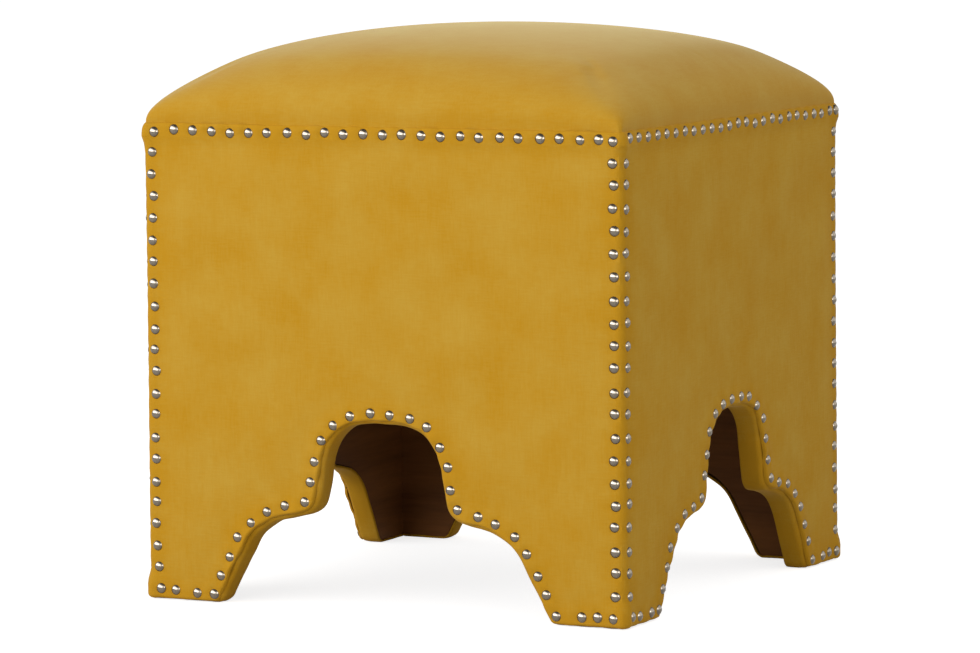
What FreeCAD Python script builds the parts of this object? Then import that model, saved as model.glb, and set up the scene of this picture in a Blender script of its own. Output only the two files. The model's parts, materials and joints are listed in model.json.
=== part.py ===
"""Square upholstered footstool: four cut-out side boards, a domed seat and nailed covers.

Millimetres, +Z up, origin on the floor under the middle of the stool, front face towards -Y.
Each side is drawn once, as the front, and turned about Z for the other three.
"""
import FreeCAD, Part
import math
import os

import Sketcher

SIZES = {
    # Whole stool
    "stool_width": 450,
    "board_top": 408,
    "crown_base": 402,
    "crown_rise": 85.5,
    # Cut-out between the feet, measured on the finished edge
    "arch_rise": 160,
    "crown_radius": 200,
    "shoulder_radius": 37,
    "side_x": 84.2,
    "side_angle": 76.5,
    "cusp_radius": 16,
    "ledge_z": 97.7,
    "ledge_angle": 12.6,
    "knee_radius": 53,
    "foot_x": 158,
    "leg_angle": 62,
    # Timber
    "board_thickness": 18,
    "deck_thickness": 12,
    "deck_gap": 0.5,
    "cleat_size": 25,
    "block_leg": 45,
    "block_height": 210,
    # Cloth and stuffing
    "cover_cloth": 1.5,
    "band_cloth": 1.5,
    "seat_cloth": 1.2,
    "cover_margin": 1.5,
    "hem_setback": 0.5,
    "outer_lip": 11,
    "inner_lip": 8,
    "padding_gap": 0.5,
    "skirt_length": 24,
    "layer_gap": 0.3,
    "wadding_thickness": 6,
    # Upholstery nails
    "nail_head": 9,
    "nail_rise": 2.6,
    "nail_pitch": 18.4,
    "nail_edge": 7.5,
    "nail_inset": 8.5,
}
SIDES = ("front", "right", "back", "left")
CORNERS = ("front_right", "back_right", "back_left", "front_left")
QUARTER_TURN = 90
CROWN_SHARES = (0.2, 0.4, 0.6, 0.77, 0.9, 0.98)
CROWN_SIDES = 40
HEAD_SIDES = 6
HEAD_CAP_SHARE = 0.55
ORIGIN_POINT = (-1, 1)

doc = FreeCAD.newDocument("Footstool")
sheet = doc.addObject("Spreadsheet::Sheet", "Sizes")
for row, (alias, number) in enumerate(SIZES.items(), start=1):
    sheet.set(f"A{row}", alias)
    sheet.set(f"B{row}", str(number))
    sheet.setAlias(f"B{row}", alias)
doc.recompute()


class Dim:
    """A size with its number and its cell formula, so drawn points and bindings agree."""

    def __init__(self, value, text):
        self.value = value
        self.text = text

    def __add__(self, other):
        return Dim(self.value + other.value, f"({self.text} + {other.text})")

    def __sub__(self, other):
        return Dim(self.value - other.value, f"({self.text} - {other.text})")

    def __neg__(self):
        return Dim(-self.value, f"(-{self.text})")

    def half(self):
        return Dim(self.value / 2, f"({self.text} / 2)")

    def sine(self, angle):
        share = math.sin(math.radians(angle.value))
        return Dim(self.value * share, f"({self.text} * sin({angle.text}))")

    def cosine(self, angle):
        share = math.cos(math.radians(angle.value))
        return Dim(self.value * share, f"({self.text} * cos({angle.text}))")


def cell(alias):
    return Dim(float(sheet.get(alias)), f"Sizes.{alias}")


NOTHING = Dim(0.0, "0")
HALF_TURN = Dim(180.0, "180")

# Layers of a side, from the finished face inwards
face = cell("stool_width").half()
layer_face = face - cell("cover_cloth")
board_face = layer_face - cell("band_cloth")
board_back = board_face - cell("board_thickness")
lip_back = board_back - cell("band_cloth")
deck_under = cell("board_top") - cell("deck_thickness")
cover_top = cell("board_top") + cell("cover_margin")
skirt_bottom = cell("crown_base") - cell("skirt_length")


def turned(step):
    return FreeCAD.Placement(
        FreeCAD.Vector(), FreeCAD.Rotation(FreeCAD.Vector(0, 0, 1), QUARTER_TURN * step)
    )


# Drawing helpers


def new_body(label):
    body = doc.addObject("PartDesign::Body", label)
    body.Label = label
    return body


def new_sketch(body, name, role, distance):
    sketch = body.newObject("Sketcher::SketchObject", name)
    plane = next(item for item in body.Origin.OriginFeatures if item.Role == role)
    sketch.AttachmentSupport = [(plane, "")]
    sketch.MapMode = "FlatFace"
    sketch.setExpression("AttachmentOffset.Base.z", distance.text)
    return sketch


def bind(sketch, kind, places, dim, factor=1.0):
    """Add a dimension and tie it to its cells."""
    index = sketch.addConstraint(Sketcher.Constraint(kind, *places, dim.value * factor))
    sketch.setExpression(f"Constraints[{index}]", dim.text)


def locate(sketch, kind, place, dim):
    """Measure a point from the origin along X or Y, always as a positive length."""
    if dim.value < 0:
        bind(sketch, kind, (*place, *ORIGIN_POINT), -dim)
    else:
        bind(sketch, kind, (*ORIGIN_POINT, *place), dim)


def line(sketch, start, end):
    return sketch.addGeometry(
        Part.LineSegment(FreeCAD.Vector(*start, 0), FreeCAD.Vector(*end, 0)), False
    )


def join(sketch, *places):
    for first, second in zip(places[::2], places[1::2]):
        sketch.addConstraint(Sketcher.Constraint("Coincident", *first, *second))


def draw_rectangle(sketch, left, right, bottom, top):
    corners = [(x.value, y.value) for x, y in
               ((left, bottom), (right, bottom), (right, top), (left, top))]
    lines = [line(sketch, corners[k], corners[(k + 1) % 4]) for k in range(4)]
    for k in range(4):
        join(sketch, (lines[k], 2), (lines[(k + 1) % 4], 1))
        sketch.addConstraint(Sketcher.Constraint("Vertical" if k % 2 else "Horizontal", lines[k]))
    locate(sketch, "DistanceX", (lines[0], 1), left)
    locate(sketch, "DistanceY", (lines[0], 1), bottom)
    locate(sketch, "DistanceX", (lines[1], 2), right)
    locate(sketch, "DistanceY", (lines[1], 2), top)


def pad(body, sketch, length):
    feature = body.newObject("PartDesign::Pad", "Pad")
    feature.Profile = sketch
    feature.setExpression("Length", length.text)
    sketch.Visibility = False
    return feature


# Outline of the cut-out: straights joined by round stretches, the right half first


def cutout_lines(inset):
    """Angle below the horizontal and distance from the origin of each straight."""
    leg = cell("leg_angle")
    ledge = cell("ledge_angle")
    side = cell("side_angle")
    return {
        "leg": (leg, cell("foot_x").sine(leg) + inset),
        "ledge": (ledge, cell("ledge_z").cosine(ledge) + inset),
        "side": (side, cell("side_x").sine(side) + inset),
    }


def cutout_radii(inset):
    """Radius of each round stretch; the cusp's centre is in the wood, the others' in the opening."""
    return {
        "knee": cell("knee_radius") + inset,
        "cusp": cell("cusp_radius") - inset,
        "shoulder": cell("shoulder_radius") + inset,
        "crown": cell("crown_radius") + inset,
    }


def meeting(first, second):
    """Point at given distances along two normals, each (normal, distance)."""
    (a, b), reach_one = first
    (c, d), reach_two = second
    area = a * d - b * c
    return ((reach_one * d - reach_two * b) / area, (reach_two * a - reach_one * c) / area)


def moved(point, normal, distance):
    return (point[0] + normal[0] * distance, point[1] + normal[1] * distance)


def cutout_joints(inset):
    """Points where the right half's stretches meet, from the foot up, and the arcs' centres."""
    radius = {name: dim.value for name, dim in cutout_radii(inset).items()}
    normal = {}
    reach = {}
    for name, (angle, distance) in cutout_lines(inset).items():
        turn = math.radians(angle.value)
        normal[name] = (math.sin(turn), math.cos(turn))
        reach[name] = distance.value
    foot = meeting((normal["leg"], reach["leg"]), ((0, 1), inset.value))
    knee = meeting(*((normal[name], reach[name] - radius["knee"]) for name in ("leg", "ledge")))
    cusp = meeting(*((normal[name], reach[name] + radius["cusp"]) for name in ("ledge", "side")))
    crown_z = cell("arch_rise").value - cell("crown_radius").value
    span = radius["crown"] - radius["shoulder"]
    across, up = normal["side"]
    off_line = reach["side"] - radius["shoulder"] - crown_z * up
    rise = math.sqrt(span ** 2 - off_line ** 2)
    shoulder = (across * off_line - up * rise, crown_z + up * off_line + across * rise)
    share = radius["crown"] / span
    crown_end = (shoulder[0] * share, crown_z + (shoulder[1] - crown_z) * share)
    joints = (
        foot,
        moved(knee, normal["leg"], radius["knee"]),
        moved(knee, normal["ledge"], radius["knee"]),
        moved(cusp, normal["ledge"], -radius["cusp"]),
        moved(cusp, normal["side"], -radius["cusp"]),
        moved(shoulder, normal["side"], radius["shoulder"]),
        crown_end,
    )
    return joints, {"knee": knee, "cusp": cusp, "shoulder": shoulder, "crown": (0, crown_z)}


def mirrored(point):
    return (-point[0], point[1])


def cutout_path(inset):
    """Whole outline between the feet: (name, side, start, end), right foot to left foot."""
    joints, centres = cutout_joints(inset)
    names = ("leg", "knee", "ledge", "cusp", "side", "shoulder")
    right = [(name, 1, joints[k], joints[k + 1]) for k, name in enumerate(names)]
    left = [(name, -1, mirrored(end), mirrored(start)) for name, _, start, end in reversed(right)]
    crown = [("crown", 0, joints[-1], mirrored(joints[-1]))]
    return right + crown + left, centres


def angle_about(centre, point):
    return math.atan2(point[1] - centre[1], point[0] - centre[0])


def draw_arc(sketch, centre, start, end, clockwise):
    """Arc between two points; also gives which ends of the arc they are."""
    if clockwise:
        start, end = end, start
    first = angle_about(centre, start)
    last = angle_about(centre, end)
    circle = Part.Circle(FreeCAD.Vector(*centre, 0), FreeCAD.Vector(0, 0, 1), math.dist(centre, start))
    arc = sketch.addGeometry(Part.ArcOfCircle(circle, first, last), False)
    return (arc, 2, 1) if clockwise else (arc, 1, 2)


def draw_outline(sketch, inset, left, right):
    """Foot, cut-out and foot as one tangent chain; returns its two outer ends."""
    path, centres = cutout_path(inset)
    lines = cutout_lines(inset)
    radii = cutout_radii(inset)
    pieces = []
    for name, side, start, end in path:
        if name in radii:
            centre = centres[name] if side >= 0 else mirrored(centres[name])
            index, first, last = draw_arc(sketch, centre, start, end, name == "cusp")
            bind(sketch, "Radius", (index,), radii[name])
            if name == "crown":
                locate(sketch, "DistanceX", (index, 3), NOTHING)
                locate(sketch, "DistanceY", (index, 3), cell("arch_rise") - cell("crown_radius"))
        else:
            index, first, last = line(sketch, start, end), 1, 2
            angle, distance = lines[name]
            slope = (HALF_TURN - angle) if side > 0 else (angle - HALF_TURN)
            bind(sketch, "Angle", (index,), slope, math.pi / 180)
            bind(sketch, "Distance", (*ORIGIN_POINT, index), distance)
        pieces.append((index, first, last))
    for (one, _, one_end), (two, two_start, _) in zip(pieces, pieces[1:]):
        sketch.addConstraint(Sketcher.Constraint("Tangent", one, one_end, two, two_start))
    ends = []
    for edge, point, piece in ((right, path[0][2], pieces[0][:2]), (left, path[-1][3], pieces[-1][::2])):
        foot = line(sketch, (edge.value, inset.value), point)
        join(sketch, (foot, 2), piece)
        sketch.addConstraint(Sketcher.Constraint("Horizontal", foot))
        locate(sketch, "DistanceX", (foot, 1), edge)
        locate(sketch, "DistanceY", (foot, 1), inset)
        ends.append((foot, 1))
    return ends


def draw_sheet(sketch, inset, left, right, top):
    """A side's full outline: feet and cut-out below, straight edges and top above."""
    right_foot, left_foot = draw_outline(sketch, inset, left, right)
    right_edge = line(sketch, (right.value, inset.value), (right.value, top.value))
    top_edge = line(sketch, (right.value, top.value), (left.value, top.value))
    left_edge = line(sketch, (left.value, top.value), (left.value, inset.value))
    join(sketch, right_foot, (right_edge, 1), (right_edge, 2), (top_edge, 1))
    join(sketch, (top_edge, 2), (left_edge, 1), (left_edge, 2), left_foot)
    for edge in (right_edge, left_edge):
        sketch.addConstraint(Sketcher.Constraint("Vertical", edge))
    sketch.addConstraint(Sketcher.Constraint("Horizontal", top_edge))
    locate(sketch, "DistanceY", (top_edge, 1), top)


def draw_strip(sketch, inset, width, left, right):
    """A strip of even width along the feet and the cut-out."""
    near = draw_outline(sketch, inset, left, right)
    far = draw_outline(sketch, inset + width, left, right)
    for edge, low, high in ((right, near[0], far[0]), (left, near[1], far[1])):
        end = line(sketch, (edge.value, inset.value), (edge.value, inset.value + width.value))
        join(sketch, low, (end, 1), (end, 2), high)


# The four sides: each layer runs past its left end and stops short at its right end,
# so that it laps the next side


def make_panel(side, step):
    body = new_body(f"{side}_panel")
    sketch = new_sketch(body, "BoardOutline", "XZ_Plane", board_back)
    draw_sheet(sketch, cell("band_cloth"), -board_face, board_back, cell("board_top"))
    pad(body, sketch, cell("board_thickness"))
    body.Placement = turned(step)
    return body


def make_edge_band(side, step):
    """Cloth strip folded round the sawn edge, with a lip on each face of the board."""
    body = new_body(f"{side}_edge_band")
    folds = (
        ("Reveal", board_back, cell("board_thickness"), cell("band_cloth"), board_face, board_back),
        ("OuterLip", board_face, cell("band_cloth"), cell("outer_lip"), layer_face, board_face),
        ("InnerLip", lip_back, cell("band_cloth"), cell("inner_lip"), board_back, lip_back),
    )
    for name, distance, thickness, width, left, right in folds:
        sketch = new_sketch(body, name, "XZ_Plane", distance)
        draw_strip(sketch, NOTHING, width, -left, right)
        pad(body, sketch, thickness)
    body.Placement = turned(step)
    return body


def make_padding(side, step):
    body = new_body(f"{side}_padding")
    sketch = new_sketch(body, "PaddingOutline", "XZ_Plane", board_face)
    top = skirt_bottom - cell("padding_gap")
    draw_sheet(sketch, cell("outer_lip") + cell("padding_gap"), -layer_face, board_face, top)
    pad(body, sketch, cell("band_cloth"))
    body.Placement = turned(step)
    return body


def make_cover(side, step):
    body = new_body(f"{side}_cover")
    sketch = new_sketch(body, "CoverOutline", "XZ_Plane", layer_face)
    draw_sheet(sketch, cell("hem_setback"), -face, layer_face, cover_top)
    pad(body, sketch, cell("cover_cloth"))
    body.Placement = turned(step)
    return body


# Corner blocks, cleats and deck


def make_corner_block(corner, step):
    body = new_body(f"{corner}_block")
    sketch = new_sketch(body, "BlockOutline", "XY_Plane", deck_under - cell("block_height"))
    near = board_back - cell("block_leg")
    points = [(board_back, -board_back), (board_back, -near), (near, -board_back)]
    lines = []
    for k, (x, y) in enumerate(points):
        after = points[(k + 1) % 3]
        lines.append(line(sketch, (x.value, y.value), (after[0].value, after[1].value)))
    for k, (x, y) in enumerate(points):
        join(sketch, (lines[k - 1], 2), (lines[k], 1))
        locate(sketch, "DistanceX", (lines[k], 1), x)
        locate(sketch, "DistanceY", (lines[k], 1), y)
    pad(body, sketch, cell("block_height"))
    body.Placement = turned(step)
    return body


def make_cleat(side, step):
    body = new_body(f"{side}_cleat")
    size = cell("cleat_size")
    end = board_back - cell("block_leg")
    inner = board_back - size
    sketch = new_sketch(body, "CleatOutline", "XY_Plane", deck_under - size)
    draw_rectangle(sketch, -end, end, -board_back, -inner)
    pad(body, sketch, size)
    body.Placement = turned(step)
    return body


def make_deck():
    body = new_body("seat_deck")
    edge = board_back - cell("deck_gap")
    sketch = new_sketch(body, "DeckOutline", "XY_Plane", deck_under)
    draw_rectangle(sketch, -edge, edge, -edge, edge)
    pad(body, sketch, cell("deck_thickness"))
    return body


# Nails: one drawn, then set out in groups


def add_shape(label, shape, step=0):
    feature = doc.addObject("Part::Feature", label)
    feature.Label = label
    feature.Shape = shape
    feature.Placement = turned(step)
    return feature


def set_out(solid, place, direction):
    """A copy whose own -Z points along `direction`."""
    copy = solid.copy()
    copy.Placement = FreeCAD.Placement(
        FreeCAD.Vector(*place), FreeCAD.Rotation(FreeCAD.Vector(0, 0, -1), FreeCAD.Vector(*direction))
    )
    return copy


def flat(points):
    return Part.Face(Part.makePolygon(points + points[:1]))


def faceted(rings, twisted):
    """Solid through rings of points, flat at both ends; twisted sides take two facets each."""
    faces = [flat(rings[0]), flat(rings[-1])]
    for low, high in zip(rings, rings[1:]):
        for k in range(len(low)):
            if twisted:
                faces.append(flat([low[k - 1], low[k], high[k]]))
                faces.append(flat([low[k - 1], high[k], high[k - 1]]))
            else:
                faces.append(flat([low[k - 1], low[k], high[k], high[k - 1]]))
    return Part.makeSolid(Part.makeShell(faces))


def nail_solid():
    """Domed nail head with few flat faces, its seat at the origin and its crown up."""
    rings = []
    for share, height in ((1, 0), (HEAD_CAP_SHARE, cell("nail_rise").value)):
        radius = share * cell("nail_head").value / 2
        turns = [2 * math.pi * k / HEAD_SIDES for k in range(HEAD_SIDES)]
        rings.append([FreeCAD.Vector(radius * math.cos(t), radius * math.sin(t), height) for t in turns])
    return faceted(rings, twisted=False)


def spread(start, end, pitch):
    """Even places from start to end, about a pitch apart, with both ends."""
    count = max(1, round(abs(end - start) / pitch))
    return [start + (end - start) * k / count for k in range(count + 1)]


def cutout_nails(inset, pitch):
    """Even places along the nail line round the cut-out, foot corner to foot corner."""
    path, centres = cutout_path(inset)
    edges = []
    for name, side, start, end in path:
        first = FreeCAD.Vector(start[0], 0, start[1])
        last = FreeCAD.Vector(end[0], 0, end[1])
        if name in centres:
            x, z = centres[name] if side >= 0 else mirrored(centres[name])
            centre = FreeCAD.Vector(x, 0, z)
            bulge = ((first + last) / 2 - centre).normalize()
            edges.append(Part.Arc(first, centre + bulge * (first - centre).Length, last).toShape())
        else:
            edges.append(Part.LineSegment(first, last).toShape())
    wire = Part.Wire(edges)
    points = wire.discretize(Number=max(1, round(wire.Length / pitch)) + 1)
    return [(point.x, point.z) for point in points]


def nail_places():
    """Nail centres of one side as (x, z): top row, both columns, feet and cut-out."""
    pitch = cell("nail_pitch").value
    edge = face.value - cell("nail_edge").value
    top = cover_top.value - cell("nail_edge").value
    low = cell("nail_inset").value
    path = cutout_nails(cell("nail_inset"), pitch)
    foot = max(x for x, z in path if abs(z - low) < pitch / 4)
    places = [(x, top) for x in spread(-edge, edge, pitch)]
    for sign in (1, -1):
        places += [(sign * edge, z) for z in spread(low, top, pitch)[:-1]]
        places += [(sign * x, low) for x in spread(foot, edge, pitch)[1:-1]]
    return places + path


def make_nails():
    nail = nail_solid()
    solids = [set_out(nail, (x, -face.value, z), (0, 1, 0)) for x, z in nail_places()]
    return [add_shape(f"{side}_nails", Part.makeCompound(solids), step)
            for step, side in enumerate(SIDES)]


# Domed seat: cover, wadding and foam, one inside the other


def crown_ring(half, share, height):
    """Section at a share of the rise: x and y, in half widths, give (1 - x2)(1 - y2) = share4.

    It is a sharp square at the foot of the crown and draws in to a circle at its top.
    """
    fall = 1 - share ** 4
    points = []
    for k in range(CROWN_SIDES):
        turn = 2 * math.pi * k / CROWN_SIDES
        cross = (math.sin(turn) * math.cos(turn)) ** 2
        reach = half * math.sqrt(2 * fall / (1 + math.sqrt(max(0, 1 - 4 * cross * fall))))
        points.append(FreeCAD.Vector(reach * math.cos(turn), reach * math.sin(turn), height))
    return points


def crown(inward, start):
    """Crown set `inward` from the finished seat, from a flat base at height start."""
    base = cell("crown_base").value
    half = layer_face.value - cell("layer_gap").value - inward
    rise = cell("crown_rise").value - inward
    rings = []
    if start < base:
        rings.append(crown_ring(half, 0, start))
    first = max(0, (start - base) / rise)
    for share in (first,) + CROWN_SHARES:
        rings.append(crown_ring(half, share, base + rise * share))
    return faceted(rings, twisted=True)


def make_seat():
    cloth = cell("seat_cloth").value
    gap = cell("layer_gap").value
    wadding = cell("wadding_thickness").value
    low = skirt_bottom.value
    top = cell("board_top").value
    seat_cover = crown(0, low).cut(crown(cloth, low))
    layer = crown(cloth + gap, top).cut(crown(cloth + gap + wadding, top))
    foam = crown(cloth + wadding + 2 * gap, top)
    return [
        add_shape("seat_foam", foam),
        add_shape("seat_wadding", layer),
        add_shape("seat_cover", seat_cover),
    ]


# Assembly

subparts = [make_deck()] + make_seat() + make_nails()
for step, side in enumerate(SIDES):
    subparts += [
        make_panel(side, step),
        make_edge_band(side, step),
        make_padding(side, step),
        make_cover(side, step),
        make_cleat(side, step),
    ]
for step, corner in enumerate(CORNERS):
    subparts.append(make_corner_block(corner, step))
doc.recompute()

for item in doc.Objects:
    if "Invalid" in item.State or "Error" in item.State:
        raise RuntimeError(f"{item.Label} failed: {item.State}")
for part in subparts:
    if part.Shape.isNull() or not part.Shape.isValid():
        raise RuntimeError(f"{part.Label} has no valid shape")

os.makedirs("parts", exist_ok=True)
for part in subparts:
    part.Shape.exportStep(f"parts/{part.Label}.step")
    print(part.Label, len(part.Shape.Solids), round(part.Shape.Volume / 1000, 2), "cm3")
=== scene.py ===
"""Velvet, nails and timber finish of a square footstool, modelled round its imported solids.

Metres, +Z up, origin on the floor under the middle of the stool, front face towards -Y.
Each side is laid out flat as the front, shaped, then turned about Z into its place.
"""
import json
import math
import random

import bpy
import numpy as np
from bpy.props import FloatProperty, FloatVectorProperty, PointerProperty
from mathutils import Matrix, Vector

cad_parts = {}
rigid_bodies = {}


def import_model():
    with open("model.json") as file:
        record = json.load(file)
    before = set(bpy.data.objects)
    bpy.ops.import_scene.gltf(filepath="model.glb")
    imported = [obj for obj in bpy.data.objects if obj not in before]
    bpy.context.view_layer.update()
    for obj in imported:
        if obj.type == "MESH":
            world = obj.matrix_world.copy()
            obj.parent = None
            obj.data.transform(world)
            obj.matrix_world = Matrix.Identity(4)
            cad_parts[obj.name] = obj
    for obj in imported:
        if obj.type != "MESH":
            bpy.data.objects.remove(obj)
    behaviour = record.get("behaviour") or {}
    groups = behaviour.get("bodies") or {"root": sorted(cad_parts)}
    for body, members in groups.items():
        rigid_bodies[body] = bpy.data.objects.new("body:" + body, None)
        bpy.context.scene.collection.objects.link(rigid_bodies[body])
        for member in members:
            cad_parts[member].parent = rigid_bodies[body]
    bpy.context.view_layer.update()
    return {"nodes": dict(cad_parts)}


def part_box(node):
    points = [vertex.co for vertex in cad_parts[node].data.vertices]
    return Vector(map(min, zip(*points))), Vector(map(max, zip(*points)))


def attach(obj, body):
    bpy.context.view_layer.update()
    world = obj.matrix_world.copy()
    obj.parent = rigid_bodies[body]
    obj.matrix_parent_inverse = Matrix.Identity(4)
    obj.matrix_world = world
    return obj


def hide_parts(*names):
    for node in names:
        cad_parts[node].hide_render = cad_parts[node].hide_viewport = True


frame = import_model()

bl_info = {
    "name": "Velvet Footstool",
    "version": (1, 0, 0),
    "blender": (4, 5, 0),
    "location": "View3D > Sidebar > Footstool",
    "description": "Dresses the packed solids of a footstool in velvet, nails and stained wood",
    "category": "Object",
}

BODY = "root"
SIDES = ("front", "right", "back", "left")
CORNERS = ("front_right", "back_right", "back_left", "front_left")
MM = 0.001

# Spacing of the points on the cloth: along its edges, over its middle, and from row to row of a hem
EDGE_STEP = 2.4 * MM
GRID_STEP = 4.5 * MM
HEM_ROWS_MM = (0.6, 0.7, 0.8, 1.0, 1.3, 1.6, 2.0, 2.0, 2.5)

# How a side cover lies on its board: past the left corner's round and short of the right one,
# how far it stands off in places, and how much of the way to a nail it is drawn
LAP_PAST = 2.15 * MM
LAP_SHORT = 1.85 * MM
LOFT = 0.9 * MM
COVER_SLACK = 0.35 * MM
CORNER_BULGE = 1.7 * MM
FOOT_BULGE = 2.0 * MM
DRIFT_SHARE = 0.17
HEM_LIFT = {"front": 1.6 * MM, "right": 0.8 * MM, "back": 1.4 * MM, "left": 2.3 * MM}

# How an edge band is folded: past the cover's edge, its depth under the cover, its two rounds and
# its slack, which draws in less than it stands out, so that the board's corner stays covered
BAND_OUT = 0.7 * MM
BAND_UNDER = 1.6 * MM
BAND_INNER_ROUND = 1.5 * MM
BAND_OUTER_ROUND = 5.0 * MM
BAND_SLACK = 0.35 * MM
DRAWN_IN = -0.8

# Seat: points from its middle to its edge, frames of the swelling, and its widest part
SEAT_STEPS = 52
SWELL_FRAMES = 20
BELLY_SHARE = 0.018
BELLY_RISE = 18 * MM
BELLY_REACH = 19 * MM

# Nails: the widest stray in multiples of the usual one, how wide a band of marks counts as beside
# an upright corner, and how far a head stands on the cloth
STRAY_LIMIT = 1.6
CORNER_BAND = 5 * MM
NAIL_SEAT = 0.4 * MM


def length(name, description, default):
    """Setting for a length in metres."""
    return FloatProperty(name=name, description=description, default=default, unit="LENGTH",
                         subtype="DISTANCE", precision=5)


def colour(name, description, default):
    """Setting for a colour with its alpha."""
    return FloatVectorProperty(name=name, description=description, default=default, size=4,
                               subtype="COLOR", min=0.0, max=1.0)


class FootstoolSizes(bpy.types.PropertyGroup):
    """Sizes of the cloth, the seat and the nails."""

    face: length("Face", "From the middle of the stool to the finished face of a side",
                 -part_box("front_cover")[0].y)
    top: length("Cover top", "Height of the upper hem of the side covers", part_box("front_cover")[1].z)
    seat_half: length("Seat half width", "Half the width of the seat at its foot",
                      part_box("seat_cover")[1].x)
    skirt_bottom: length("Skirt bottom", "Height of the lower edge of the seat's skirt",
                         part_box("seat_cover")[0].z)
    crown_base: length("Crown base", "Height at which the domed part of the seat starts", 0.402)
    crown_rise: length("Crown rise", "Rise of the seat above the crown base", 0.0847)
    swell: length("Swell", "How far the filled seat may swell from its cut shape", 0.0025)
    corner_round: length("Corner round", "Radius of the cloth round an upright corner", 0.005)
    edge_fill: length("Edge fill", "Extra padding under the edge of the legs and ledges", 0.0017)
    hem_back: length("Hem set back", "From the finished edge of the cut-out to the cover's hem", 0.0015)
    hem_fold: length("Hem fold", "Extra thickness of a folded hem", 0.0008)
    top_fold: length("Top fold", "Extra thickness of the upper hem", 0.0016)
    pucker: length("Pucker", "Depth of the dimple that a nail draws in the cloth", 0.0013)
    cloth: length("Cloth", "Thickness of the velvet", 0.0011)
    nail_radius: length("Nail radius", "Radius of a nail head", 0.0047)
    nail_rise: length("Nail rise", "Height of a nail head", 0.0026)
    nail_stray: length("Nail stray", "How far a nail set by hand strays from its mark", 0.0007)
    column_inset: length("Column inset", "How far nails beside a corner are set in from their marks", 0.0012)


class FootstoolColours(bpy.types.PropertyGroup):
    """Colours of the cloth, the wood and the metal."""

    pile_deep: colour("Pile, deep", "Velvet seen into its pile", (0.535, 0.268, 0.0115, 1.0))
    # The pale pile colour is a painted sheen, laid in random patches where the pile lies differently
    pile_pale_sheen: colour("Pile, pale", "Velvet brushed away from the eye", (0.560, 0.325, 0.036, 1.0))
    stain_dark: colour("Stain, dark", "Dark bands of the stained boards", (0.108, 0.038, 0.0095, 1.0))
    stain_light: colour("Stain, light", "Light bands of the stained boards", (0.280, 0.108, 0.028, 1.0))
    pine_dark: colour("Pine, dark", "Late growth of the plain timber", (0.42, 0.26, 0.13, 1.0))
    pine_light: colour("Pine, light", "Early growth of the plain timber", (0.66, 0.49, 0.30, 1.0))
    metal: colour("Nail metal", "Polished metal of the nail heads", (0.225, 0.197, 0.160, 1.0))
    # Darker metal for the rim of the heads: partly tarnished metal, partly painted shade and dark reflection
    tarnish_and_shade: colour("Nail tarnish", "Duller metal at the rim of the nail heads", (0.110, 0.092, 0.070, 1.0))


# Small helpers for numbers and meshes


def smooth_step(value, low, high):
    """0 at the low end, 1 at the high end, with a soft start and stop between them."""
    share = np.clip((value - low) / (high - low), 0.0, 1.0)
    return share * share * (3.0 - 2.0 * share)


def bell(distance, width):
    """1 at no distance, falling softly to 0."""
    return np.exp(-(distance / width) ** 2)


def waves(points, reach, seed, count=7):
    """Slow random swell over flat points, about -1 to 1, with waves near `reach` long."""
    draw = random.Random(seed)
    total = np.zeros(len(points))
    for _ in range(count):
        turn = draw.uniform(0.0, 2.0 * math.pi)
        pace = 2.0 * math.pi / (reach * draw.uniform(0.7, 1.6))
        shift = draw.uniform(0.0, 2.0 * math.pi)
        along = points[:, 0] * math.cos(turn) + points[:, 1] * math.sin(turn)
        total += np.sin(along * pace + shift)
    return total / math.sqrt(count)


def resampled(line, step):
    """The same line with even steps."""
    runs = np.hypot(*np.diff(line, axis=0).T)
    travelled = np.concatenate([[0.0], np.cumsum(runs)])
    places = np.linspace(0.0, travelled[-1], max(2, round(travelled[-1] / step)) + 1)
    return np.column_stack([np.interp(places, travelled, line[:, k]) for k in (0, 1)])


def eased(line, passes):
    """The same line with its bends eased; its ends stay."""
    for _ in range(passes):
        line[1:-1] = line[:-2] / 4 + line[1:-1] / 2 + line[2:] / 4
    return line


def normals_of(line):
    """Unit normals on the right hand of a line, which is the open side of the cut-out."""
    along = np.gradient(line, axis=0)
    along /= np.hypot(*along.T)[:, None]
    return np.column_stack([along[:, 1], -along[:, 0]])


def bend_radius(line):
    """Radius at each point of a line where it bends away from its open side, else very large."""
    along = np.gradient(line, axis=0)
    along /= np.hypot(*along.T)[:, None]
    turn = np.gradient(np.unwrap(np.arctan2(along[:, 1], along[:, 0])))
    run = np.hypot(*np.gradient(line, axis=0).T)
    return run / np.maximum(turn, 1e-6)


def distance_to_line(points, line):
    """Shortest distance from each point to a line of many short runs."""
    start, run = line[:-1], np.diff(line, axis=0)
    nearest = np.full(len(points), 1e9)
    for origin, step in zip(start, run):
        offset = points - origin
        share = np.clip(offset @ step / (step @ step), 0.0, 1.0)
        nearest = np.minimum(nearest, np.hypot(*(offset - share[:, None] * step).T))
    return nearest


def activate(obj):
    """Make this the one selected object."""
    bpy.ops.object.select_all(action="DESELECT")
    obj.select_set(True)
    bpy.context.view_layer.objects.active = obj


def new_piece(name):
    """Name the primitive that was just added and give it a mesh name to match."""
    obj = bpy.context.object
    obj.name = name
    obj.data.name = name
    return obj


def places_of(obj):
    """Places of a mesh's points, one row for each."""
    points = np.empty(len(obj.data.vertices) * 3)
    obj.data.vertices.foreach_get("co", points)
    return points.reshape(-1, 3)


def put_places(obj, points):
    """Move a mesh's points to these places."""
    obj.data.vertices.foreach_set("co", np.ascontiguousarray(points, dtype=np.float32).ravel())
    obj.data.update()


def put_attribute(obj, name, values):
    """Give each point of a mesh its own value for the materials to read."""
    layer = obj.data.attributes.new(name, "FLOAT", "POINT")
    layer.data.foreach_set("value", np.ascontiguousarray(values, dtype=np.float32))


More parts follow.
